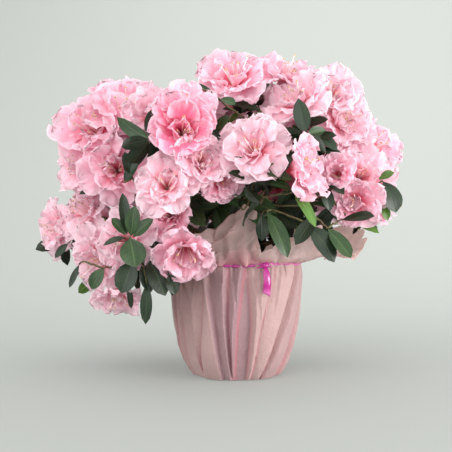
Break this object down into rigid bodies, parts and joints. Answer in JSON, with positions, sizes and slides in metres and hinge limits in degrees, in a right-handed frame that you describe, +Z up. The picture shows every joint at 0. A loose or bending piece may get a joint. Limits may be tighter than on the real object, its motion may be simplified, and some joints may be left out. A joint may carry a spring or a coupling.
{
  "type": "potted azalea shrub in flower, wrapped in tissue paper",
  "caption": "Low round azalea shrub covered in ruffled pink double flowers, in a pot wrapped in pleated tissue paper and tied with a ribbon.",
  "frame": {"origin": "middle of the flat underside that the wrapped pot stands on", "axes": "+Z up; -Y towards the side where the ribbon is knotted and the front corner of the paper stands up; +X to the right as that side is seen"},
  "size_m": [0.383, 0.2978, 0.3367],
  "materials": {
    "pot_plastic": "matte",
    "soil": "rough",
    "paper": "soft, slightly translucent tissue",
    "ribbon": "satin",
    "bark": "rough",
    "blossom_mass": "soft petals",
    "leaf_mass": "satin leaves"
  },
  "bodies": {
    "root": {"bough_back_left": "bark", "bough_back_low": "bark", "bough_back_low_left": "bark", "bough_back_low_right": "bark", "bough_back_right": "bark", "bough_back_top": "bark", "bough_centre": "bark", "bough_centre_left": "bark", "bough_far_left": "bark", "bough_front_left": "bark", "bough_low_left": "bark", "bough_low_right": "bark", "bough_mid_left": "bark", "bough_right": "bark", "bough_top": "bark", "bough_upper_left": "bark", "bough_upper_right": "bark", "mass_back_left": "blossom_mass", "mass_back_low": "blossom_mass", "mass_back_low_left": "blossom_mass", "mass_back_low_right": "blossom_mass", "mass_back_right": "blossom_mass", "mass_back_top": "blossom_mass", "mass_centre": "blossom_mass", "mass_centre_left": "blossom_mass", "mass_far_left": "blossom_mass", "mass_front_left": "blossom_mass", "mass_heart": "leaf_mass", "mass_low_left": "blossom_mass", "mass_low_right": "leaf_mass", "mass_mid_left": "blossom_mass", "mass_right": "blossom_mass", "mass_top": "blossom_mass", "mass_upper_left": "blossom_mass", "mass_upper_right": "blossom_mass", "paper_flap_back": "paper", "paper_flap_front": "paper", "paper_flap_left": "paper", "paper_flap_right": "paper", "paper_wrap": "paper", "pot": "pot_plastic", "potting_soil": "soil", "ribbon_band": "ribbon", "ribbon_knot": "ribbon", "ribbon_tail": "ribbon", "stem": "bark"}
  },
  "joints": []
}
